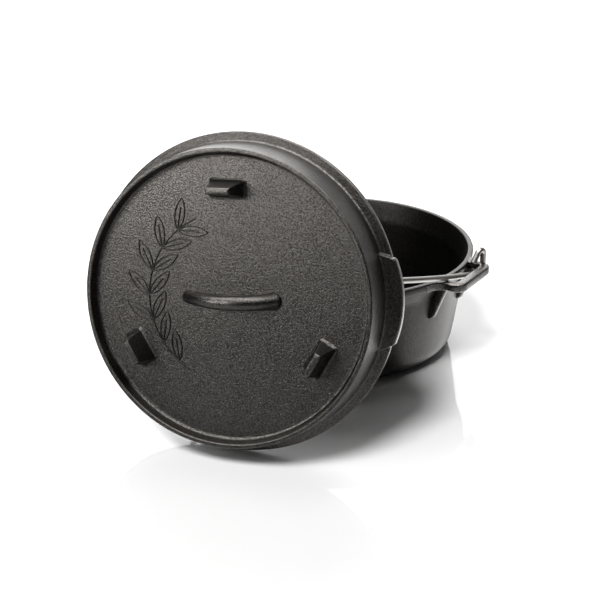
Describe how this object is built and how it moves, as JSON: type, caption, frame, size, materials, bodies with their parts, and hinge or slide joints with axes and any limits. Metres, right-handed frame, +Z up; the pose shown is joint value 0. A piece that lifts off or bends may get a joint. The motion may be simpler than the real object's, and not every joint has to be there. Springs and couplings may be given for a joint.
{
  "type": "camp dutch oven",
  "caption": "Cast-iron camp dutch oven: a round pot with loop ears and a wire bail, and a flanged lid with a coal ridge, feet, side lugs and a loop handle.",
  "frame": {"origin": "centre of the pot's flat base, on the floor", "axes": "+Z up along the pot's axis, +X through one ear, -Y towards the side where the folded bail and the standing lid are"},
  "size_m": [0.3439, 0.4547, 0.283],
  "materials": {
    "pot_iron": "seasoned, satin, fine sand-cast grain",
    "lid_iron": "seasoned, satin, fine sand-cast grain",
    "wire": "bright drawn wire"
  },
  "bodies": {
    "pot": {"pot": "pot_iron"},
    "bail": {"bail": "wire"},
    "lid": {"lid": "lid_iron"}
  },
  "joints": [
    {"name": "bail_swing", "type": "hinge", "parent": "pot", "child": "bail", "pos_m": [0, 0.031, 0.1035], "axis": [-1, 0, 0], "range_deg": [0, 185]},
    {"name": "lid_lift", "type": "slide", "parent": "pot", "child": "lid", "axis": [0.2423, -0.9422, 0.2312], "range_m": [0, 0.15]}
  ]
}
